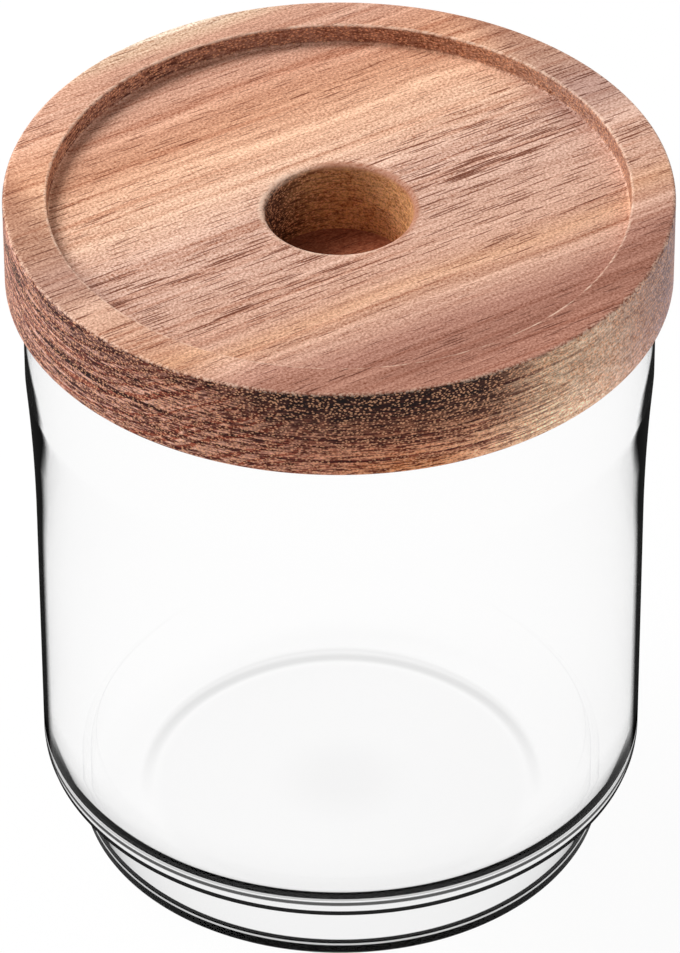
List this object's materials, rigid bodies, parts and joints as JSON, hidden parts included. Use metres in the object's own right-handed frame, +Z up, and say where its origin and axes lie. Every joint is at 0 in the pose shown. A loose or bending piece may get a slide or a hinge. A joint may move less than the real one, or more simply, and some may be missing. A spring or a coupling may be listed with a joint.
{
  "type": "food keeper",
  "caption": "Round clear glass keeper with a wooden lid that has a finger hole and a stacking recess.",
  "frame": {"origin": "centre of the foot, on the surface that the jar stands on", "axes": "+Z up along the jar's axis of turning"},
  "size_m": [0.1, 0.1, 0.1152],
  "materials": {
    "clear_glass": "clear, polished",
    "board_wood": "oiled brown hardwood with open pores",
    "plug_wood": "sanded reddish hardwood",
    "seal_silicone": "translucent white, satin"
  },
  "bodies": {
    "jar": {"glass_jar": "clear_glass"},
    "lid": {"lid_board": "board_wood", "lid_plug": "plug_wood", "seal_ring": "seal_silicone"}
  },
  "joints": [
    {"name": "lid_lift", "type": "slide", "parent": "jar", "child": "lid", "axis": [0, 0, 1], "range_m": [0, 0.04]}
  ]
}
